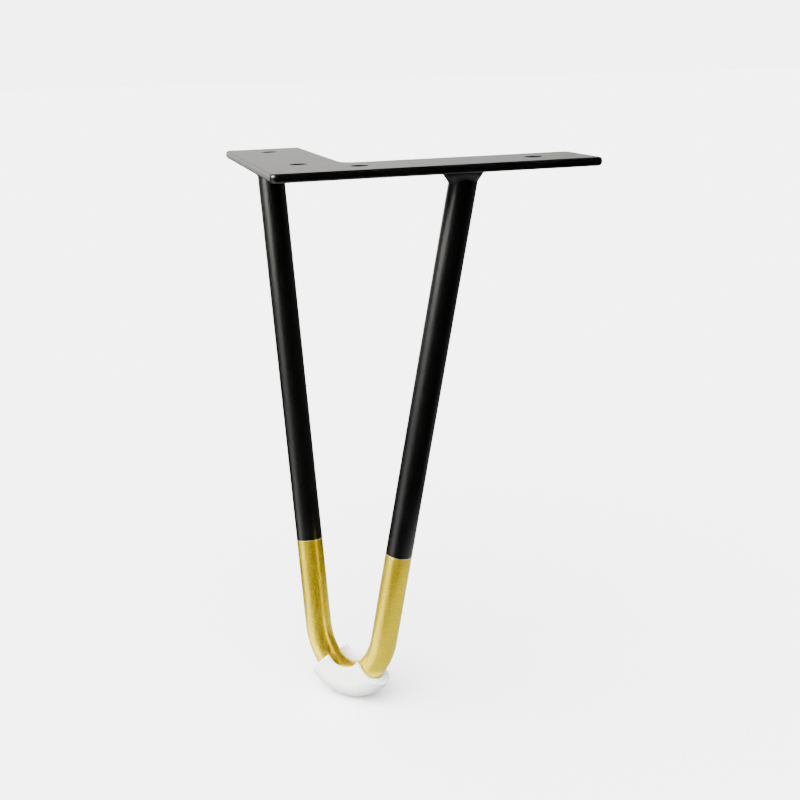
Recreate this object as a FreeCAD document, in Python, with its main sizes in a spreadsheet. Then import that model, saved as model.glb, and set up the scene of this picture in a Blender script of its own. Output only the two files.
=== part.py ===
# Hairpin table leg: an L-shaped steel mounting plate, one round bar bent into a V with its two
# ends welded under the plate, and a white moulded clip on the bottom of the bend.
# Millimetres, +Z up. The origin lies on the plate's top face, where its two rows of holes cross.
# One arm of the plate runs along +X, the other along +Y.
import FreeCAD, Part
import math
import os
import Sketcher

SIZES = [
    # the plate
    ("arm_length", 138.0, "outer corner to the end of either arm"),
    ("arm_width", 37.0, "width of either arm"),
    ("plate_thickness", 3.6, "steel plate"),
    ("corner_radius", 3.0, "outer corners of the outline"),
    ("inner_corner_radius", 6.0, "corner between the arms"),
    ("edge_round", 1.3, "soft edges under the paint"),
    ("hole_diameter", 7.5, "plain holes for the screws"),
    ("hole_inset", 18.0, "outer edge to a row of holes"),
    ("near_hole", 21.0, "crossing of the rows to the nearer hole"),
    ("end_to_hole", 24.0, "end of an arm to the farther hole"),
    # the bar
    ("rod_diameter", 12.0, "round steel bar"),
    ("rod_along", 64.0, "crossing of the rows to the bar, along the arm"),
    ("rod_offset", 5.0, "row of holes to the bar, towards the outer edge"),
    ("splay_angle", 7.0, "lean of the bar's plane, out under the corner"),
    ("bend_depth", 232.0, "underside of the plate to the bar's centre at the bottom"),
    ("bend_radius", 14.5, "tight bend at the bottom, on the bar's centre"),
    ("shoulder_radius", 32.0, "gentle bend above it, on either side"),
    ("shoulder_angle", 30.0, "turn of each gentle bend"),
    # the welds
    ("weld_on_rod", 4.4, "height of the weld along the bar"),
    ("weld_on_plate", 2.8, "width of the weld on the plate"),
    ("weld_hollow", 6.0, "radius of the weld's hollow face"),
    # the foot cap
    ("cap_clearance", 0.1, "gap between the bar and the clip"),
    ("cap_wall", 1.9, "side walls of the clip"),
    ("cap_sole", 4.4, "thickness of the clip under the bar"),
    ("cap_wall_height", 6.8, "side walls above the bar's centre"),
    ("cap_edge_round", 0.4, "moulded edges of the clip"),
]

# The plate is alike on both sides of its diagonal, so the bar's plane is square to that line.
DIAGONAL_ANGLE = 45
STRAIGHT_DOWN = -90

# A sketch numbers its own two axes down from -1, and the points of a curve up from 1.
X_AXIS, Y_AXIS = range(-1, -3, -1)
START, END, CENTRE = range(1, 4)
ORIGIN = (X_AXIS, START)

UPWARD = FreeCAD.Vector(0, 0, 1)

# Places that follow from the sizes, as the sheet's own expressions.
FAR_HOLE = "(Sizes.arm_length - Sizes.hole_inset - Sizes.end_to_hole)"
HALF_SPAN = "(Sizes.rod_along + Sizes.rod_offset) / sqrt(2)"
MIDDLE = "(Sizes.rod_along - Sizes.rod_offset) / 2"
BEND_CENTRE = "(Sizes.bend_depth - Sizes.bend_radius)"
SHOULDER_REACH = (
    "(Sizes.shoulder_radius"
    " - (Sizes.shoulder_radius - Sizes.bend_radius) * cos(Sizes.shoulder_angle * 1 deg))"
)
LEG_ANGLE = (
    f"(acos({SHOULDER_REACH} / hypot({HALF_SPAN}; {BEND_CENTRE}))"
    f" - atan2({BEND_CENTRE}; {HALF_SPAN}))"
)
TIGHT_BEND = f"(90 deg - {LEG_ANGLE} - Sizes.shoulder_angle * 1 deg)"

doc = FreeCAD.newDocument("hairpin_leg")


def make_sheet():
    sheet = doc.addObject("Spreadsheet::Sheet", "Sizes")
    for row, (alias, value, meaning) in enumerate(SIZES, start=1):
        sheet.set(f"A{row}", alias.replace("_", " "))
        sheet.set(f"B{row}", str(value))
        sheet.set(f"C{row}", meaning)
        sheet.setAlias(f"B{row}", alias)
    doc.recompute()
    return sheet


def size(alias):
    return float(sheet.get(alias))


def evaluate(expression):
    """The value that an expression has with the sizes in the sheet."""
    result = sheet.evalExpression(expression)
    return float(getattr(result, "Value", result))


def make_body(name):
    body = doc.addObject("PartDesign::Body", name)
    body.Label = name
    return body


def origin_plane(body, role):
    return next(feature for feature in body.Origin.OriginFeatures if feature.Role == role)


def make_sketch(body, name, role):
    sketch = body.newObject("Sketcher::SketchObject", name)
    sketch.AttachmentSupport = (origin_plane(body, role), "")
    sketch.MapMode = "FlatFace"
    return sketch


def bind(sketch, constraint, name, expression):
    """Add a dimension, name it and tie it to the sizes."""
    index = sketch.addConstraint(constraint)
    sketch.renameConstraint(index, name)
    sketch.setExpression(f"Constraints.{name}", expression)


def vector(x, y):
    return FreeCAD.Vector(x, y, 0)


def on_circle(centre, radius, angle):
    """The point of a circle at an angle in degrees from straight down, towards +X."""
    return centre + FreeCAD.Rotation(UPWARD, angle).multVec(vector(0, -radius))


def add_outline(sketch, points):
    """A closed outline of straight lines, each one level or upright."""
    lines = []
    for start, end in zip(points, points[1:] + points[:1]):
        line = sketch.addGeometry(Part.LineSegment(vector(*start), vector(*end)), False)
        level = abs(start[1] - end[1]) < abs(start[0] - end[0])
        sketch.addConstraint(Sketcher.Constraint("Horizontal" if level else "Vertical", line))
        lines.append(line)
    for line, following in zip(lines, lines[1:] + lines[:1]):
        sketch.addConstraint(Sketcher.Constraint("Coincident", line, END, following, START))
    return lines


def edge_names(feature, wanted):
    """Names of the feature's edges for which wanted(edge) holds."""
    edges = feature.Shape.Edges
    return [f"Edge{number}" for number, edge in enumerate(edges, start=1) if wanted(edge)]


def add_fillet(body, base, edges, alias):
    fillet = body.newObject("PartDesign::Fillet", f"{alias}_fillet")
    fillet.Base = (base, edges)
    fillet.setExpression("Radius", f"Sizes.{alias}")
    body.Tip = fillet
    doc.recompute()
    return fillet


def make_plate():
    """Flat plate, cut out as an L, with its corners and edges rounded and four holes."""
    body = make_body("mounting_plate")
    inset, length, width = size("hole_inset"), size("arm_length"), size("arm_width")
    near, far = -inset, length - inset
    inner = width - inset
    outline = make_sketch(body, "plate_outline", "XY_Plane")
    corners = [(near, near), (far, near), (far, inner), (inner, inner), (inner, far), (near, far)]
    front, front_end, *_, rear_end, rear = add_outline(outline, corners)
    for name, first, second, direction, value, expression in (
        ("inset_x", (front, START), ORIGIN, "X", inset, "Sizes.hole_inset"),
        ("inset_y", (front, START), ORIGIN, "Y", inset, "Sizes.hole_inset"),
        ("front", (front, START), (front, END), "X", length, "Sizes.arm_length"),
        ("rear", (rear, END), (rear, START), "Y", length, "Sizes.arm_length"),
        ("front_width", (front_end, START), (front_end, END), "Y", width, "Sizes.arm_width"),
        ("rear_width", (rear_end, END), (rear_end, START), "X", width, "Sizes.arm_width"),
    ):
        distance = Sketcher.Constraint(f"Distance{direction}", *first, *second, value)
        bind(outline, distance, name, expression)
    plate = body.newObject("PartDesign::Pad", "plate")
    plate.Profile = outline
    plate.Reversed = True
    plate.setExpression("Length", "Sizes.plate_thickness")
    doc.recompute()

    def upright(edge):
        return edge.BoundBox.ZLength > max(edge.BoundBox.XLength, edge.BoundBox.YLength)

    def between_arms(edge):
        middle = edge.BoundBox.Center
        return abs(middle.x - inner) + abs(middle.y - inner) < size("edge_round")

    def flat(edge):
        return edge.BoundBox.ZLength < size("edge_round") / 2

    outer = edge_names(plate, lambda edge: upright(edge) and not between_arms(edge))
    cornered = add_fillet(body, plate, outer, "corner_radius")
    corner = edge_names(cornered, lambda edge: upright(edge) and between_arms(edge))
    cornered = add_fillet(body, cornered, corner, "inner_corner_radius")
    add_fillet(body, cornered, edge_names(cornered, flat), "edge_round")

    centres = make_sketch(body, "hole_centres", "XY_Plane")
    radius = size("hole_diameter") / 2
    for arm, axis, direction in (("front", X_AXIS, "X"), ("rear", Y_AXIS, "Y")):
        for place, expression in (("near", "Sizes.near_hole"), ("far", FAR_HOLE)):
            reach = evaluate(expression)
            centre = vector(reach, 0) if axis == X_AXIS else vector(0, reach)
            hole = centres.addGeometry(Part.Circle(centre, UPWARD, radius), False)
            name = f"{arm}_{place}"
            centres.addConstraint(Sketcher.Constraint("PointOnObject", hole, CENTRE, axis))
            along = Sketcher.Constraint(f"Distance{direction}", *ORIGIN, hole, CENTRE, reach)
            bind(centres, along, name, expression)
            across = Sketcher.Constraint("Diameter", hole, 2 * radius)
            bind(centres, across, f"{name}_hole", "Sizes.hole_diameter")
    holes = body.newObject("PartDesign::Pocket", "holes")
    holes.Profile = centres
    holes.Type = "ThroughAll"
    body.Tip = holes
    doc.recompute()
    return body


def place_in_bar_plane(body):
    """X runs from the rear end of the bar to the front end, Z up in the bar's leaning plane."""
    body.setExpression(
        "Placement",
        f"placement(vector({MIDDLE}; {MIDDLE}; -Sizes.plate_thickness);"
        f" rotation(-{DIAGONAL_ANGLE}; 0; -Sizes.splay_angle))",
    )


def trim_at_plate(body, tilt, half_length):
    """Cut the body off along the plate's underside. tilt turns its own XY plane into that face."""
    sketch = make_sketch(body, "underside", "XY_Plane")
    sketch.setExpression("AttachmentOffset", f"placement(vector(0; 0; 0); {tilt})")
    reach, depth = evaluate(half_length), size("rod_diameter")
    corners = [(-reach, -depth), (reach, -depth), (reach, depth), (-reach, depth)]
    bottom, right = add_outline(sketch, corners)[:2]
    sketch.addConstraint(Sketcher.Constraint("Symmetric", bottom, START, right, END, *ORIGIN))
    bind(sketch, Sketcher.Constraint("DistanceX", bottom, START, bottom, END, 2 * reach),
         "length", f"2 * ({half_length})")
    bind(sketch, Sketcher.Constraint("DistanceY", right, START, right, END, 2 * depth),
         "width", "2 * Sizes.rod_diameter")
    trim = body.newObject("PartDesign::Pocket", "flush_with_plate")
    trim.Profile = sketch
    trim.Reversed = True
    trim.setExpression("Length", "2 * Sizes.rod_diameter")
    body.Tip = trim
    doc.recompute()


def make_rod():
    """One round bar. Half of it is swept from the bottom of the bend up to the plate, with a
    tight bend, a gentle one and a straight leg, and the other half mirrors it."""
    body = make_body("hairpin_rod")
    place_in_bar_plane(body)
    span, depth, radius = evaluate(HALF_SPAN), size("bend_depth"), size("rod_diameter") / 2
    tight, gentle = size("bend_radius"), size("shoulder_radius")
    lean, turn = evaluate(LEG_ANGLE), evaluate(TIGHT_BEND)

    path = make_sketch(body, "centre_line", "XZ_Plane")
    bend_centre = vector(0, tight - depth)
    shoulder_centre = on_circle(bend_centre, tight - gentle, turn)
    shoulder_end = on_circle(shoulder_centre, gentle, -STRAIGHT_DOWN - lean)
    leg_end = vector(span, 0)
    top = leg_end + (leg_end - shoulder_end).normalize() * radius

    def arc(centre, arc_radius, start, stop):
        angles = [math.radians(STRAIGHT_DOWN + angle) for angle in (start, stop)]
        circle = Part.Circle(centre, UPWARD, arc_radius)
        return path.addGeometry(Part.ArcOfCircle(circle, *angles), False)

    bend = arc(bend_centre, tight, 0, turn)
    shoulder = arc(shoulder_centre, gentle, turn, -STRAIGHT_DOWN - lean)
    leg = path.addGeometry(Part.LineSegment(shoulder_end, top), False)
    end = path.addGeometry(Part.Point(leg_end), True)
    dimension = Sketcher.Constraint
    path.addConstraint(dimension("PointOnObject", bend, CENTRE, Y_AXIS))
    path.addConstraint(dimension("PointOnObject", bend, START, Y_AXIS))
    path.addConstraint(dimension("Tangent", bend, END, shoulder, START))
    path.addConstraint(dimension("Tangent", shoulder, END, leg, START))
    path.addConstraint(dimension("PointOnObject", end, START, X_AXIS))
    path.addConstraint(dimension("PointOnObject", end, START, leg))
    bind(path, dimension("DistanceY", bend, START, *ORIGIN, depth), "depth", "Sizes.bend_depth")
    bind(path, dimension("Radius", bend, tight), "tight", "Sizes.bend_radius")
    bind(path, dimension("Radius", shoulder, gentle), "gentle", "Sizes.shoulder_radius")
    bind(path, dimension("Angle", shoulder, math.radians(size("shoulder_angle"))),
         "turn", "Sizes.shoulder_angle * 1 deg")
    bind(path, dimension("DistanceX", *ORIGIN, end, START, span), "span", HALF_SPAN)
    bind(path, dimension("DistanceY", *ORIGIN, leg, END, radius), "allowance", "Sizes.rod_diameter / 2")

    section = make_sketch(body, "bar_section", "YZ_Plane")
    circle = section.addGeometry(Part.Circle(vector(0, -depth), UPWARD, radius), False)
    section.addConstraint(dimension("PointOnObject", circle, CENTRE, Y_AXIS))
    bind(section, dimension("DistanceY", circle, CENTRE, *ORIGIN, depth), "depth", "Sizes.bend_depth")
    bind(section, dimension("Diameter", circle, 2 * radius), "thickness", "Sizes.rod_diameter")
    doc.recompute()

    half = body.newObject("PartDesign::AdditivePipe", "half_bar")
    half.Profile = section
    half.Spine = (path, ["Edge1", "Edge2", "Edge3"])
    doc.recompute()
    whole = body.newObject("PartDesign::Mirrored", "whole_bar")
    whole.Originals = [half]
    whole.MirrorPlane = (origin_plane(body, "YZ_Plane"), [""])
    body.Tip = whole
    doc.recompute()
    trim_at_plate(body, "rotation(0; 0; Sizes.splay_angle)", f"{HALF_SPAN} + Sizes.rod_diameter")
    return body


def make_weld(name, side):
    """Fillet weld: a ring with a hollow face round the end of the bar, flush with the plate.
    side is 1 at the bar's front end and -1 at its rear end."""
    body = make_body(name)
    places = ["Sizes.rod_along", "-Sizes.rod_offset"]
    x, y = places if side > 0 else reversed(places)
    lean = f"{side} * {LEG_ANGLE}"
    body.setExpression(
        "Placement",
        f"placement(vector({x}; {y}; -Sizes.plate_thickness);"
        f" rotation(-{DIAGONAL_ANGLE}; 0; 0) * rotation(0; 0; -Sizes.splay_angle)"
        f" * rotation(0; {lean}; 0))",
    )
    inner, width, height = size("rod_diameter") / 2, size("weld_on_plate"), size("weld_on_rod")
    outer = inner + width
    section = make_sketch(body, "weld_section", "XZ_Plane")
    toe, shoulder = vector(inner, -height), vector(outer, 0)
    top_outer, top_inner = vector(outer, inner), vector(inner, inner)
    chord = shoulder - toe
    outward = vector(chord.y, -chord.x).normalize()
    radius = size("weld_hollow")
    centre = (toe + shoulder) * 0.5 + outward * math.sqrt(radius ** 2 - (chord.Length / 2) ** 2)
    angles = [math.atan2(point.y - centre.y, point.x - centre.x) for point in (shoulder, toe)]
    hollow = section.addGeometry(
        Part.ArcOfCircle(Part.Circle(centre, UPWARD, radius), *angles), False)
    rise, top, bore = [
        section.addGeometry(Part.LineSegment(start, end), False)
        for start, end in ((shoulder, top_outer), (top_outer, top_inner), (top_inner, toe))
    ]
    dimension = Sketcher.Constraint
    section.addConstraint(dimension("Coincident", hollow, START, rise, START))
    section.addConstraint(dimension("Coincident", rise, END, top, START))
    section.addConstraint(dimension("Coincident", top, END, bore, START))
    section.addConstraint(dimension("Coincident", bore, END, hollow, END))
    section.addConstraint(dimension("Vertical", rise))
    section.addConstraint(dimension("Horizontal", top))
    section.addConstraint(dimension("Vertical", bore))
    section.addConstraint(dimension("PointOnObject", hollow, START, X_AXIS))
    for name, first, second, direction, value, expression in (
        ("bore", ORIGIN, (bore, END), "X", inner, "Sizes.rod_diameter / 2"),
        ("width", (bore, START), (rise, START), "X", width, "Sizes.weld_on_plate"),
        ("height", (bore, END), ORIGIN, "Y", height, "Sizes.weld_on_rod"),
        ("allowance", ORIGIN, (bore, START), "Y", inner, "Sizes.rod_diameter / 2"),
    ):
        distance = dimension(f"Distance{direction}", *first, *second, value)
        bind(section, distance, name, expression)
    bind(section, dimension("Radius", hollow, radius), "hollow", "Sizes.weld_hollow")
    ring = body.newObject("PartDesign::Revolution", "ring")
    ring.Profile = section
    ring.ReferenceAxis = (section, ["V_Axis"])
    doc.recompute()
    trim_at_plate(body, f"rotation(0; -({lean}); Sizes.splay_angle)", "2 * Sizes.rod_diameter")
    return body


def make_foot_cap():
    """Moulded clip: a U-shaped channel with a round sole, turned along the tight bend."""
    body = make_body("foot_cap")
    place_in_bar_plane(body)
    bore = size("rod_diameter") / 2 + size("cap_clearance")
    half_width = bore + size("cap_wall")
    bar = -size("bend_depth")
    rim = bar + size("cap_wall_height")
    sole = bar - size("rod_diameter") / 2 - size("cap_sole")
    low = sole + half_width
    pivot = bar + size("bend_radius")
    section = make_sketch(body, "channel_section", "YZ_Plane")
    pivot_line = section.addGeometry(
        Part.LineSegment(vector(-half_width, pivot), vector(half_width, pivot)), True)
    outside, inside = [
        section.addGeometry(
            Part.ArcOfCircle(Part.Circle(vector(0, height), UPWARD, radius), -math.pi, 0), False)
        for height, radius in ((low, half_width), (bar, bore))
    ]
    dimension = Sketcher.Constraint
    for name, side, end in (("left_rim", -1, START), ("right_rim", 1, END)):
        outer_wall, edge, inner_wall = [
            section.addGeometry(Part.LineSegment(vector(side * x, z), vector(side * to_x, to_z)), False)
            for x, z, to_x, to_z in (
                (half_width, low, half_width, rim),
                (half_width, rim, bore, rim),
                (bore, rim, bore, bar),
            )
        ]
        section.addConstraint(dimension("Tangent", outside, end, outer_wall, START))
        section.addConstraint(dimension("Coincident", outer_wall, END, edge, START))
        section.addConstraint(dimension("Coincident", edge, END, inner_wall, START))
        section.addConstraint(dimension("Tangent", inside, end, inner_wall, END))
        section.addConstraint(dimension("Horizontal", edge))
        section.addConstraint(dimension("Vertical", outer_wall))
        section.addConstraint(dimension("Vertical", inner_wall))
        wall_height = dimension("DistanceY", inside, CENTRE, edge, START, rim - bar)
        bind(section, wall_height, name, "Sizes.cap_wall_height")
    section.addConstraint(dimension("PointOnObject", outside, CENTRE, Y_AXIS))
    section.addConstraint(dimension("PointOnObject", inside, CENTRE, Y_AXIS))
    section.addConstraint(dimension("Symmetric", pivot_line, START, pivot_line, END, Y_AXIS))
    inner_radius = "Sizes.rod_diameter / 2 + Sizes.cap_clearance"
    outer_radius = f"{inner_radius} + Sizes.cap_wall"
    for name, first, second, direction, value, expression in (
        ("depth", (inside, CENTRE), ORIGIN, "Y", -bar, "Sizes.bend_depth"),
        ("pivot", (pivot_line, START), ORIGIN, "Y", -pivot, BEND_CENTRE),
        ("pivot_length", (pivot_line, START), (pivot_line, END), "X", 2 * half_width,
         f"2 * ({outer_radius})"),
        ("sole", (outside, CENTRE), (inside, CENTRE), "Y", bar - low,
         "Sizes.cap_sole - Sizes.cap_clearance - Sizes.cap_wall"),
    ):
        distance = dimension(f"Distance{direction}", *first, *second, value)
        bind(section, distance, name, expression)
    bind(section, dimension("Radius", inside, bore), "bore", inner_radius)
    bind(section, dimension("Radius", outside, half_width), "outside", outer_radius)
    channel = body.newObject("PartDesign::Revolution", "channel")
    channel.Profile = section
    channel.ReferenceAxis = (section, ["Axis0"])
    channel.Midplane = True
    channel.setExpression("Angle", f"2 * {TIGHT_BEND}")
    body.Tip = channel
    doc.recompute()
    every_edge = edge_names(channel, lambda edge: True)
    add_fillet(body, channel, every_edge, "cap_edge_round")
    return body


def check_and_export(bodies):
    for item in doc.Objects:
        if {"Invalid", "Error"} & set(item.State):
            raise RuntimeError(f"{item.Name}: {item.State}")
    for body in bodies:
        if body.Shape.isNull() or not body.Shape.isValid() or len(body.Shape.Solids) != 1:
            raise RuntimeError(f"{body.Label} isn't one sound solid")
    os.makedirs("parts", exist_ok=True)
    for body in bodies:
        body.Shape.exportStep(f"parts/{body.Label}.step")
        box = body.Shape.BoundBox
        print(f"{body.Label}: {body.Shape.Volume:.1f} mm3, x {box.XMin:.1f} to {box.XMax:.1f},"
              f" y {box.YMin:.1f} to {box.YMax:.1f}, z {box.ZMin:.1f} to {box.ZMax:.1f}")


sheet = make_sheet()
pieces = [
    make_plate(),
    make_rod(),
    make_weld("weld_bead_front", 1),
    make_weld("weld_bead_rear", -1),
    make_foot_cap(),
]
doc.recompute()
check_and_export(pieces)
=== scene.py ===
import math

import bmesh
import bpy
from mathutils import Matrix, Vector, noise


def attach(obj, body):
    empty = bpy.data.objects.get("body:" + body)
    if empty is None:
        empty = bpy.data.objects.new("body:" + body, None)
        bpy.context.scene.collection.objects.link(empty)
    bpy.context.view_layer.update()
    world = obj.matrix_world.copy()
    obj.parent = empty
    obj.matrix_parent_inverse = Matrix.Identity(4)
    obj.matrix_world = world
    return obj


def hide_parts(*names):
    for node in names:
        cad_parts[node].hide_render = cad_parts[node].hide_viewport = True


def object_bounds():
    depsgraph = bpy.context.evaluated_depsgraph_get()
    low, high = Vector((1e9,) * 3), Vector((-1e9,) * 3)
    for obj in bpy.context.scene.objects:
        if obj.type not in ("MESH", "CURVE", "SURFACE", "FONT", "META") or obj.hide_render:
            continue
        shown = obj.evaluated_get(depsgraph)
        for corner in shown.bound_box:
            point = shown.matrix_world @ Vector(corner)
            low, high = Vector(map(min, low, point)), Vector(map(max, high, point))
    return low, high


MM = 0.001

# Driving sizes of the leg that its finishes follow.
PLATE_THICKNESS = 3.6 * MM
ROD_RADIUS = 6 * MM
ROD_ALONG = 64 * MM
ROD_OFFSET = 5 * MM
SPLAY = math.radians(7)
LEG_ANGLE = math.radians(8.31)
BEND_DEPTH = 232 * MM
BEND_RADIUS = 14.5 * MM
SHOULDER_RADIUS = 32 * MM
SHOULDER_ANGLE = math.radians(30)
TIGHT_BEND = math.pi / 2 - LEG_ANGLE - SHOULDER_ANGLE

# Where the gold starts, measured down each leg, how far that line wavers and how soft it is, and
# the painted highlight along the gold's upper edge: a pale band that stands in for light caught
# there.
FRONT_GOLD_START = 170.7 * MM
REAR_GOLD_START = 172.2 * MM
GOLD_LINE_WAVER = 0.25 * MM
GOLD_LINE_SOFTNESS = 0.03 * MM
GOLD_HIGHLIGHT_WIDTH = 0.35 * MM

# The welds: their width on the plate and height on the bar, how much they swell where the run
# stops and thin out before it, and the uneven, rippled face that lies behind their outer one.
WELD_ON_PLATE = 2.8 * MM
WELD_ON_ROD = 4.4 * MM
WELD_STOP_SWELL = 0.6 * MM
WELD_THIN_SPOT = 1.2 * MM
WELD_UNEVENNESS = 0.12 * MM
WELD_STEPS_ROUND = 220
WELD_STEPS_ACROSS = 26
RIPPLE_PITCH = 1.5 * MM
RIPPLE_HEIGHT = 0.07 * MM
RIPPLE_LAG = 0.9 * MM

# The clip, seen in the bar's plane: the angle in degrees at which its ends stand, and how much
# of the hollow its near wall takes, both by the distance in mm from the bend's centre.
CLIP_END_FRONT = ((7.7, 61), (12.5, 52.5), (18, 51.7), (22, 55))
CLIP_END_REAR = ((7.7, 58), (22, 49))
CLIP_WALL = ((7.7, 1), (14.5, 0))
CLIP_HOLLOW = 1.45 * MM

# The bar's plane: ACROSS runs from the rear leg to the front one, DOWN leans out with the bar.
MIDDLE = Vector(((ROD_ALONG - ROD_OFFSET) / 2, (ROD_ALONG - ROD_OFFSET) / 2, -PLATE_THICKNESS))
HALF_SPAN = (ROD_ALONG + ROD_OFFSET) / math.sqrt(2)
ACROSS = Vector((1, -1, 0)).normalized()
DOWN = Vector((-math.sin(SPLAY) / math.sqrt(2), -math.sin(SPLAY) / math.sqrt(2), -math.cos(SPLAY)))

# The photograph's viewpoint.
CAMERA_PLACE = Vector((-84.1, -438.2, 39.2)) * MM
CAMERA_YAW = math.radians(15.22)
CAMERA_PITCH = math.radians(17.04)
CAMERA_ROLL = math.radians(1.64)
CAMERA_LENS = 49.54
CAMERA_NEAR = 0.01
CAMERA_FAR = 20

# The finishes. A pair of plain numbers is where a value starts and ends as its pattern goes from
# 0 to 1.
BLACK = (0.0004, 0.00045, 0.0005, 1)
BLACK_WORN = (0.0009, 0.00095, 0.001, 1)
BLACK_ROUGHNESS = (0.265, 0.31)
PEEL_DEPTH = 0.012 * MM
DUST_DEPTH = 0.0015 * MM
# The weld's colours are far paler than the coat's black: a painted reflection of light from below.
WELD_SHEEN_DARK = (0.012, 0.0128, 0.0142, 1)
WELD_SHEEN_PALE = (0.021, 0.022, 0.0235, 1)
WELD_ROUGHNESS = (0.42, 0.55)
GOLD_BINDER = (0.52, 0.36, 0.002, 1)
GOLD_FLAKE = (0.90, 0.735, 0.011, 1)
# Colour of the painted highlight in the thin band along the gold's upper edge.
GOLD_EDGE_HIGHLIGHT = (0.86, 0.72, 0.36, 1)
GOLD_ROUGHNESS = (0.27, 0.4)
GOLD_METALLIC = (0.7, 1.0)
FLAKE_WIDTH = 0.16 * MM
FLAKE_DEPTH = 0.004 * MM
FLAKE_SHARE = (0.54, 0.66)
MILK_DARK = (0.75, 0.75, 0.725, 1)
MILK_PALE = (0.79, 0.79, 0.77, 1)
MILK_ROUGHNESS = (0.42, 0.5)
MILK_SKIN_DEPTH = 0.004 * MM

# The studio's light in radiance. Azimuths and widths are in degrees, from +Y towards +X, and
# heights are the upward part of a direction of length 1. A pair is where a light starts to fade
# in and where it is full.
BACKDROP_LEVEL = 5.6
TOP_LEVEL = 7.8
SIDE_LEVEL = 1.3
TOP_LIGHT_HEIGHTS = (0.1, 1.0)
LEFT_LIGHT_AZIMUTH = -115
SOFTBOX_LEVEL = 62
SOFTBOX_AZIMUTH = -93
SOFTBOX_SIDES = (26, 14)
SOFTBOX_FOOT = (0.13, 0.42)
SOFTBOX_FOOT_SHARE = 0.005
SOFTBOX_TOP = (0.85, 0.7)
CARD_TOP = (-0.2, -0.28)
CARD_SHARE = 0.051
WALL_LEVEL = 1.85
WALL_AZIMUTH = -2
WALL_SIDES = (50, 15)
WALL_FOOT = (-0.27, 0.04)
WALL_BRIGHT_BAND = (0.3, 0.14)
WALL_UPPER_SHARE = 0.3
WALL_TOP = (0.7, 0.3)
FILL_LEVEL = 0.12
FILL_AZIMUTH = 75
FILL_SIDES = (50, 20)
BACK_GLOW = 0.5
BACK_GLOW_AZIMUTH = 15
BACK_GLOW_SIDES = (100, 50)
BACK_GLOW_TOP = (-0.38, -0.55)
GLOOM_LEVEL = 0.003
GLOSS_TINT = (1, 0.985, 0.94, 1)

# The floor, and the bright sheet round the foot that the gold mirrors.
FLOOR_HALF = 30.0
PAPER_SEEN = (0.89, 0.89, 0.89, 1)
PAPER_LIT = (0.22, 0.22, 0.22, 1)
SHEET_LEVEL = 1.25
SHEET_PLACE = Vector((45, 2, 0)) * MM
SHEET_RADIUS = 163 * MM
SPOT_LEVEL = 3.4
SPOT_RADIUS = 75 * MM
SPOT_PLACE = Vector((-75, 10, 0)) * MM


class Nodes:
    """Short calls that add nodes to a node tree and link them."""

    def __init__(self, owner):
        owner.use_nodes = True
        self.tree = owner.node_tree
        self.place = None

    def add(self, kind, **values):
        node = self.tree.nodes.new(kind)
        for name, value in values.items():
            setattr(node, name, value)
        return node

    def feed(self, socket, value):
        if isinstance(value, bpy.types.NodeSocket):
            self.tree.links.new(value, socket)
        else:
            socket.default_value = value

    def math(self, operation, *values, clamp=False):
        node = self.add("ShaderNodeMath", operation=operation, use_clamp=clamp)
        for socket, value in zip(node.inputs, values):
            self.feed(socket, value)
        return node.outputs["Value"]

    def mix(self, share, first, second):
        node = self.add("ShaderNodeMix", data_type="RGBA")
        self.feed(node.inputs["Factor"], share)
        for name, value in (("A", first), ("B", second)):
            socket = next(s for s in node.inputs if s.name == name and s.type == "RGBA")
            self.feed(socket, value)
        return next(s for s in node.outputs if s.type == "RGBA")

    def blend(self, share, first, second):
        """A number that goes from first to second as share goes from 0 to 1."""
        node = self.add("ShaderNodeMapRange")
        for name, value in (("Value", share), ("To Min", first), ("To Max", second)):
            self.feed(node.inputs[name], value)
        return node.outputs["Result"]

    def ramp(self, value, start, stop, low=0.0, high=1.0):
        """A smooth step from low to high as value goes from start to stop."""
        node = self.add("ShaderNodeMapRange", interpolation_type="SMOOTHSTEP")
        numbers = (value, start, stop, low, high)
        for name, number in zip(("Value", "From Min", "From Max", "To Min", "To Max"), numbers):
            self.feed(node.inputs[name], number)
        return node.outputs["Result"]

    def dot(self, direction):
        """How far the surface point lies along a direction."""
        node = self.add("ShaderNodeVectorMath", operation="DOT_PRODUCT")
        self.feed(node.inputs[0], self.place)
        self.feed(node.inputs[1], direction)
        return node.outputs["Value"]

    def noise(self, grain, detail=2.0, roughness=0.5):
        """Noise whose features are about grain wide, from 0 to 1."""
        node = self.add("ShaderNodeTexNoise")
        self.feed(node.inputs["Vector"], self.place)
        self.feed(node.inputs["Scale"], 1 / grain)
        self.feed(node.inputs["Detail"], detail)
        self.feed(node.inputs["Roughness"], roughness)
        return node.outputs["Fac"]

    def cells(self, grain):
        """One random number for each cell about grain wide."""
        node = self.add("ShaderNodeTexVoronoi")
        self.feed(node.inputs["Vector"], self.place)
        self.feed(node.inputs["Scale"], 1 / grain)
        split = self.add("ShaderNodeSeparateColor")
        self.feed(split.inputs["Color"], node.outputs["Color"])
        return split.outputs["Red"]

    def bump(self, height, depth, normal=None):
        node = self.add("ShaderNodeBump")
        self.feed(node.inputs["Height"], height)
        self.feed(node.inputs["Distance"], depth)
        if normal is not None:
            self.feed(node.inputs["Normal"], normal)
        return node.outputs["Normal"]


class Shader(Nodes):
    """A material with one Principled shader."""

    def __init__(self, name):
        self.material = bpy.data.materials.new(name)
        super().__init__(self.material)
        self.surface = self.tree.nodes["Principled BSDF"]
        self.place = self.add("ShaderNodeTexCoord").outputs["Object"]

    def set(self, **values):
        for name, value in values.items():
            self.feed(self.surface.inputs[name.replace("_", " ")], value)


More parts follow.
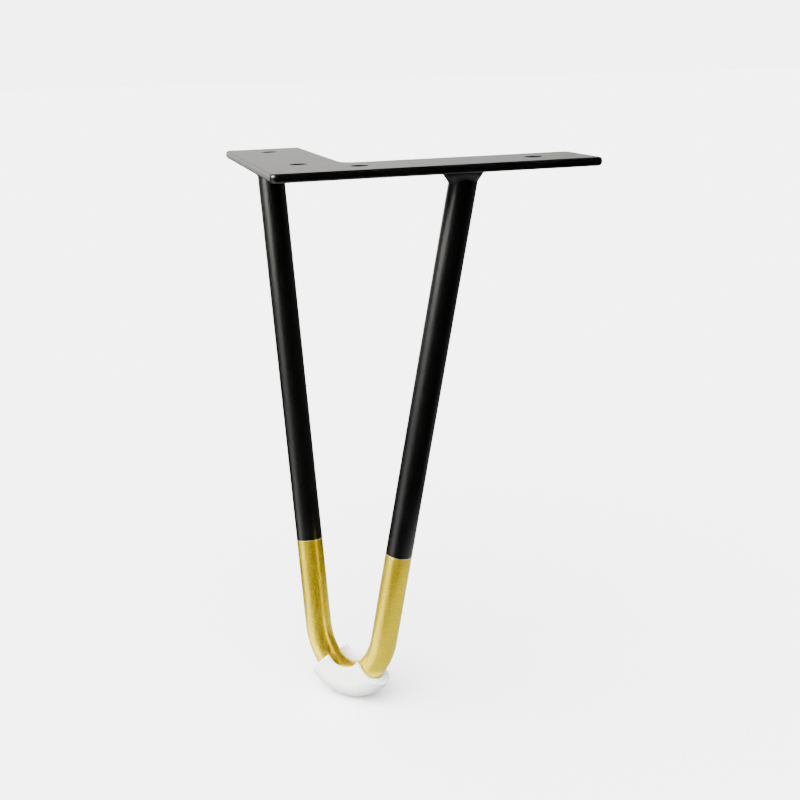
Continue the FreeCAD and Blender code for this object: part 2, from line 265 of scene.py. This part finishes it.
def coat(shader):
    """Colour, roughness and relief of the black powder coat."""
    cloud = shader.noise(14 * MM, detail=3)
    peel = shader.noise(0.9 * MM, detail=2)
    dust = shader.noise(0.12 * MM, detail=1)
    colour = shader.mix(cloud, BLACK, BLACK_WORN)
    roughness = shader.blend(shader.noise(5 * MM), *BLACK_ROUGHNESS)
    relief = shader.bump(peel, PEEL_DEPTH)
    relief = shader.bump(dust, DUST_DEPTH, relief)
    return colour, roughness, relief


def powder_coat(name):
    shader = Shader(name)
    colour, roughness, relief = coat(shader)
    shader.set(Base_Color=colour, Roughness=roughness, Normal=relief, IOR=1.5)
    return shader.material


def weld_powder_with_sheen(name):
    """The same coat, rougher and duller on the weld. Its paler colour is a painted reflection of
    light from below on the weld's face.
    """
    shader = Shader(name)
    relief = coat(shader)[2]
    mottle = shader.noise(1.5 * MM, detail=3)
    shader.set(
        Base_Color=shader.mix(mottle, WELD_SHEEN_DARK, WELD_SHEEN_PALE),
        Roughness=shader.blend(mottle, *WELD_ROUGHNESS),
        Normal=relief,
        IOR=1.5,
    )
    return shader.material


def two_tone_coat(name):
    """Powder coat, and gold flake paint over the bend up to a line square to each leg. The two
    starts of the gold change over in the middle, where the bar is all gold."""
    shader = Shader(name)
    colour, roughness, relief = coat(shader)
    across = shader.math("SUBTRACT", shader.dot(ACROSS), MIDDLE.dot(ACROSS))
    start = shader.ramp(across, -5 * MM, 5 * MM, REAR_GOLD_START, FRONT_GOLD_START)
    outward = shader.math("SUBTRACT", shader.math("ABSOLUTE", across), HALF_SPAN)
    depth = shader.math("SUBTRACT", shader.dot(DOWN), MIDDLE.dot(DOWN))
    along_leg = shader.math(
        "SUBTRACT",
        shader.math("MULTIPLY", depth, math.cos(LEG_ANGLE)),
        shader.math("MULTIPLY", outward, math.sin(LEG_ANGLE)),
    )
    waver = shader.math("MULTIPLY", shader.noise(6 * MM), GOLD_LINE_WAVER)
    below = shader.math("SUBTRACT", shader.math("ADD", along_leg, waver), start)
    gold = shader.math("DIVIDE", below, GOLD_LINE_SOFTNESS, clamp=True)
    # A thin pale band just below the gold's start: a painted highlight, where light would catch the
    # paint's edge.
    highlight_line = shader.math("MULTIPLY", gold, shader.math("LESS_THAN", below, GOLD_HIGHLIGHT_WIDTH))
    flakes = shader.cells(FLAKE_WIDTH)
    cloud = shader.noise(2.5 * MM, detail=4)
    flake = shader.math("LESS_THAN", flakes, shader.blend(cloud, *FLAKE_SHARE))
    paint = shader.mix(highlight_line, shader.mix(flake, GOLD_BINDER, GOLD_FLAKE), GOLD_EDGE_HIGHLIGHT)
    shader.set(
        Base_Color=shader.mix(gold, colour, paint),
        Metallic=shader.math("MULTIPLY", gold, shader.blend(flake, *GOLD_METALLIC)),
        Roughness=shader.blend(gold, roughness, shader.blend(flakes, *GOLD_ROUGHNESS)),
        Normal=shader.bump(flakes, FLAKE_DEPTH, relief),
        IOR=1.5,
    )
    return shader.material


def milky_plastic(name):
    """Soft white plastic with a fine moulded skin, a little light passing through its walls."""
    shader = Shader(name)
    skin = shader.noise(0.35 * MM, detail=3)
    cloud = shader.noise(6 * MM)
    shader.set(
        Base_Color=shader.mix(cloud, MILK_DARK, MILK_PALE),
        Roughness=shader.blend(cloud, *MILK_ROUGHNESS),
        Normal=shader.bump(skin, MILK_SKIN_DEPTH),
        IOR=1.47,
        Subsurface_Weight=0.15,
        Subsurface_Radius=(1.0, 0.95, 0.9),
        Subsurface_Scale=0.0025,
    )
    return shader.material


def set_material(piece, material):
    piece.data.materials.clear()
    piece.data.materials.append(material)


def add_object(name, data, material):
    piece = bpy.data.objects.new(name, data)
    bpy.context.scene.collection.objects.link(piece)
    set_material(piece, material)
    return piece


def bent(point, amount, grain, seed):
    """Smooth random number round zero at a point, up to about amount."""
    return amount * noise.noise(Vector(point) / grain + Vector((seed, 0, 0)))


def bump_at(angle, middle, narrow):
    """A smooth bump round the bar: 1 at the middle, in degrees, and slimmer as narrow grows."""
    return max(0.0, math.cos(angle - math.radians(middle))) ** narrow


def weld_bead(name, side, seed, stop_angle, material):
    """A fillet weld laid round the bar's end, with an uneven toe on the plate and on the bar. Its
    outer face runs straight from toe to toe. A hollow face with the ripples of the weld pool lies
    behind that one and doesn't show. side is 1 at the front leg and -1 at the rear one. The weld
    is thickest where its run stops, at stop_angle in degrees, and thinnest about a quarter turn
    before."""
    ripple_ring = ROD_RADIUS + WELD_ON_PLATE / 2
    leg = (DOWN * math.cos(LEG_ANGLE) - ACROSS * side * math.sin(LEG_ANGLE)).normalized()
    top = MIDDLE + ACROSS * side * HALF_SPAN
    outward = (ACROSS * side - leg * leg.dot(ACROSS * side)).normalized()
    sideways = leg.cross(outward)
    mesh = bmesh.new()
    rings = []
    for step in range(WELD_STEPS_ROUND):
        angle = 2 * math.pi * step / WELD_STEPS_ROUND
        spoke = outward * math.cos(angle) + sideways * math.sin(angle)
        around = Vector((math.cos(angle), math.sin(angle), 0))
        outside = math.cos(angle)
        reach = WELD_ON_PLATE * (1.02 - 0.24 * outside + bent(around, 0.12, 0.5, seed))
        reach += WELD_STOP_SWELL * bump_at(angle, stop_angle + 20, 4)
        drop = WELD_ON_ROD * (1 + 0.06 * outside + bent(around, 0.1, 0.6, seed + 7))
        drop += WELD_STOP_SWELL * bump_at(angle, stop_angle, 6)
        drop -= WELD_THIN_SPOT * bump_at(angle, stop_angle - 85, 5)
        hollow = 0.1 + 0.08 * outside
        rod_toe = top + spoke * ROD_RADIUS
        rod_toe += leg * ((-PLATE_THICKNESS - rod_toe.z) / leg.z + drop)
        plate_toe = top + spoke * (ROD_RADIUS + reach)
        plate_toe += leg * ((-PLATE_THICKNESS - plate_toe.z) / leg.z)
        chord = plate_toe - rod_toe
        inward = top + leg * (chord.length * 0.1) - (rod_toe + plate_toe) / 2
        inward = (inward - chord * (inward.dot(chord) / chord.length_squared)).normalized()
        ring = []
        for row in range(WELD_STEPS_ACROSS + 1):
            share = row / WELD_STEPS_ACROSS
            bow = math.sin(math.pi * share)
            phase = (angle * ripple_ring + RIPPLE_LAG * bow) / RIPPLE_PITCH
            wave = abs(math.sin(math.pi * phase)) - 0.5
            swell = bent(around * 8 + Vector((0, 0, share * 2)), WELD_UNEVENNESS, 0.9, seed + 3)
            lift = -hollow * chord.length * bow + (wave * RIPPLE_HEIGHT + swell) * bow ** 0.6
            ring.append(mesh.verts.new(rod_toe + chord * share - inward * lift))
        rings.append(ring)
    for ring, following in zip(rings, rings[1:] + rings[:1]):
        for row in range(WELD_STEPS_ACROSS):
            mesh.faces.new((ring[row], following[row], following[row + 1], ring[row + 1]))
        mesh.faces.new((ring[0], ring[-1], following[-1], following[0]))
    bmesh.ops.recalc_face_normals(mesh, faces=mesh.faces)
    data = bpy.data.meshes.new(name)
    mesh.to_mesh(data)
    mesh.free()
    data.polygons.foreach_set("use_smooth", [True] * len(data.polygons))
    return add_object(name, data, material)


def between(value, points):
    """The second number of the points at a value of the first, straight in between and level
    beyond the ends."""
    if value <= points[0][0]:
        return points[0][1]
    for (low, first), (high, second) in zip(points, points[1:]):
        if value <= high:
            return first + (second - first) * (value - low) / (high - low)
    return points[-1][1]


def seated_clip(name, node, material):
    """The clip as it sits on the real bend, with longer rims, ends scooped round the bar and a
    hollow in the rim of its near wall. Points move along the bend, so the clip keeps its
    clearance to the bar, and past the tight bend they follow the bar outwards."""
    aside_axis = ACROSS.cross(DOWN)
    pivot = MIDDLE + DOWN * (BEND_DEPTH - BEND_RADIUS)

    def seat(place):
        offset = place - pivot
        across, down, aside = (offset.dot(axis) for axis in (ACROSS, DOWN, aside_axis))
        radius = math.hypot(across, down)
        turn = math.atan2(across, down)
        ends = CLIP_END_FRONT if turn > 0 else CLIP_END_REAR
        turn *= math.radians(between(radius / MM, ends))
        turn /= TIGHT_BEND
        if aside < 0:
            radius += CLIP_HOLLOW * between(radius / MM, CLIP_WALL)
        past = max(0.0, abs(turn) - TIGHT_BEND) * BEND_RADIUS
        radius += past * past / 2 * (1 / BEND_RADIUS - 1 / SHOULDER_RADIUS)
        across = radius * math.sin(turn)
        down = radius * math.cos(turn)
        return pivot + ACROSS * across + DOWN * down + aside_axis * aside

    data = node.data.copy()
    data.name = name
    normals = [Vector()] * len(data.vertices)
    for corner, normal in zip(data.loops, data.corner_normals):
        normals[corner.vertex_index] = normal.vector.copy()
    step = 0.01 * MM
    for vertex in data.vertices:
        place = vertex.co.copy()
        normal = normals[vertex.index]
        first = normal.orthogonal().normalized()
        second = normal.cross(first)
        vertex.co = seat(place)
        run = seat(place + first * step) - vertex.co
        rise = seat(place + second * step) - vertex.co
        normals[vertex.index] = run.cross(rise).normalized()
    data.normals_split_custom_set_from_vertices(normals)
    return add_object(name, data, material)


def make_camera():
    data = bpy.data.cameras.new("camera")
    data.lens = CAMERA_LENS
    data.clip_start = CAMERA_NEAR
    data.clip_end = CAMERA_FAR
    camera = bpy.data.objects.new("camera", data)
    turn = Matrix.Rotation(-CAMERA_YAW, 4, "Z")
    turn = turn @ Matrix.Rotation(math.pi / 2 - CAMERA_PITCH, 4, "X")
    turn = turn @ Matrix.Rotation(-CAMERA_ROLL, 4, "Z")
    camera.matrix_world = Matrix.Translation(CAMERA_PLACE) @ turn
    bpy.context.scene.collection.objects.link(camera)
    bpy.context.scene.camera = camera


def add_square(name, half, place, material):
    """A flat square that reaches half to each side of a place."""
    data = bpy.data.meshes.new(name)
    corners = [(-half, -half, 0), (half, -half, 0), (half, half, 0), (-half, half, 0)]
    data.from_pydata(corners, [], [(0, 1, 2, 3)])
    square = add_object(name, data, material)
    square.location = place
    return square


def make_floor(lowest):
    """A wide pale floor that the foot clip stands on. It gives back less light than it shows, so
    the gold keeps its depth."""
    shader = Shader("floor_paper")
    seen = shader.add("ShaderNodeLightPath").outputs["Is Camera Ray"]
    paper = shader.mix(seen, PAPER_LIT, PAPER_SEEN)
    shader.set(Base_Color=paper, Roughness=1.0, Specular_IOR_Level=0.0)
    floor = add_square("floor", FLOOR_HALF, (0, 0, lowest), shader.material)
    floor.visible_glossy = False


def make_sheet(lowest):
    """The bright sheet round the foot, with a brighter spot on its left, as the gold mirrors it.
    It lights no other surface and isn't seen itself."""
    shader = Shader("sheet_glow")
    span = shader.add("ShaderNodeVectorMath", operation="LENGTH")
    shader.feed(span.inputs[0], shader.place)
    glow = shader.ramp(span.outputs["Value"], SHEET_RADIUS, SHEET_RADIUS * 0.6, 0.0, SHEET_LEVEL)
    gap = shader.add("ShaderNodeVectorMath", operation="DISTANCE")
    shader.feed(gap.inputs[0], shader.place)
    shader.feed(gap.inputs[1], SPOT_PLACE - SHEET_PLACE)
    spot = shader.ramp(gap.outputs["Value"], SPOT_RADIUS, SPOT_RADIUS * 0.3, 0.0, SPOT_LEVEL)
    shader.set(Base_Color=(0, 0, 0, 1), Specular_IOR_Level=0.0, Emission_Color=(1, 1, 1, 1))
    shader.set(Emission_Strength=shader.math("ADD", glow, spot))
    place = (SHEET_PLACE.x, SHEET_PLACE.y, lowest)
    sheet = add_square("sheet", SHEET_RADIUS, place, shader.material)
    sheet.visible_camera = False
    sheet.visible_diffuse = False
    sheet.visible_shadow = False


def make_studio():
    """A pale room. Matt surfaces get light from above and from the left. Glossy ones mirror a high
    softbox on the left with a dim card below it, a wall behind, a weak fill on the right and a low
    glow behind. All the rest is dark to them, which keeps the black coat black."""
    world = bpy.data.worlds.new("studio")
    bpy.context.scene.world = world
    world.cycles.sampling_method = "NONE"
    sky = Nodes(world)
    sky.place = sky.add("ShaderNodeTexCoord").outputs["Generated"]
    height = sky.dot(Vector((0, 0, 1)))

    def times(*values):
        """The product of lights and numbers."""
        product = values[0]
        for value in values[1:]:
            product = sky.math("MULTIPLY", product, value)
        return product

    def sides(azimuth, widths):
        """Fades in towards an azimuth, as seen from above."""
        azimuth = math.radians(azimuth)
        towards = Vector((math.sin(azimuth), math.cos(azimuth), 0))
        aside = Vector((math.cos(azimuth), -math.sin(azimuth), 0))
        away = sky.math("ABSOLUTE", sky.math("ARCTAN2", sky.dot(aside), sky.dot(towards)))
        return sky.ramp(away, *(math.radians(width) for width in widths))

    lamp = times(
        sky.ramp(height, *SOFTBOX_FOOT, SOFTBOX_FOOT_SHARE, 1.0),
        sky.ramp(height, *SOFTBOX_TOP),
    )
    card = sky.ramp(height, *CARD_TOP, 0.0, CARD_SHARE)
    box = times(sides(SOFTBOX_AZIMUTH, SOFTBOX_SIDES), sky.math("ADD", lamp, card))
    wall = times(
        sides(WALL_AZIMUTH, WALL_SIDES),
        sky.ramp(height, *WALL_FOOT),
        sky.ramp(height, *WALL_BRIGHT_BAND, WALL_UPPER_SHARE, 1.0),
        sky.ramp(height, *WALL_TOP),
    )
    fill = sides(FILL_AZIMUTH, FILL_SIDES)
    back = times(sides(BACK_GLOW_AZIMUTH, BACK_GLOW_SIDES), sky.ramp(height, *BACK_GLOW_TOP))
    gloss = GLOOM_LEVEL
    for part, strength in (
        (box, SOFTBOX_LEVEL),
        (wall, WALL_LEVEL),
        (fill, FILL_LEVEL),
        (back, BACK_GLOW),
    ):
        gloss = sky.math("ADD", gloss, times(part, strength))
    azimuth = math.radians(LEFT_LIGHT_AZIMUTH)
    lean = sky.math("ADD", sky.dot(Vector((math.sin(azimuth), math.cos(azimuth), 0))), 1)
    matt = times(sky.ramp(height, *TOP_LIGHT_HEIGHTS, SIDE_LEVEL, TOP_LEVEL), lean, lean)
    rays = sky.add("ShaderNodeLightPath")
    level = sky.blend(rays.outputs["Is Glossy Ray"], matt, gloss)
    level = sky.blend(rays.outputs["Is Camera Ray"], level, BACKDROP_LEVEL)
    tint = sky.mix(rays.outputs["Is Glossy Ray"], (1, 1, 1, 1), GLOSS_TINT)
    sky.feed(sky.tree.nodes["Background"].inputs["Strength"], level)
    sky.feed(sky.tree.nodes["Background"].inputs["Color"], tint)


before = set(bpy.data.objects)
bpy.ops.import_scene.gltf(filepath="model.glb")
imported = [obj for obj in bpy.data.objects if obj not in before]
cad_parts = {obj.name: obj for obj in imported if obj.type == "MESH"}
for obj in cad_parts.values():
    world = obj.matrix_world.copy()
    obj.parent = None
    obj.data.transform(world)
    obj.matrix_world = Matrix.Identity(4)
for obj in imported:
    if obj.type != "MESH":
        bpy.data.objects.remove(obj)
cad_low, cad_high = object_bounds()
make_camera()

set_material(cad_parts["mounting_plate"], powder_coat("black_powder_coat"))
set_material(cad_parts["hairpin_rod"], two_tone_coat("black_and_gold"))

clip = seated_clip("foot_clip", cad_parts["foot_cap"], milky_plastic("milky_plastic"))
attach(clip, "root")
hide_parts("foot_cap")

welds = (("front_weld", 1, 3, 125, "weld_bead_front"), ("rear_weld", -1, 11, 250, "weld_bead_rear"))
weld_coat_with_sheen = weld_powder_with_sheen("black_weld_coat")
for piece_name, leg_side, first_draw, stop, node in welds:
    bead = weld_bead(piece_name, leg_side, first_draw, stop, weld_coat_with_sheen)
    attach(bead, "root")
    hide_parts(node)

make_floor(cad_low.z)
make_sheet(cad_low.z)
make_studio()
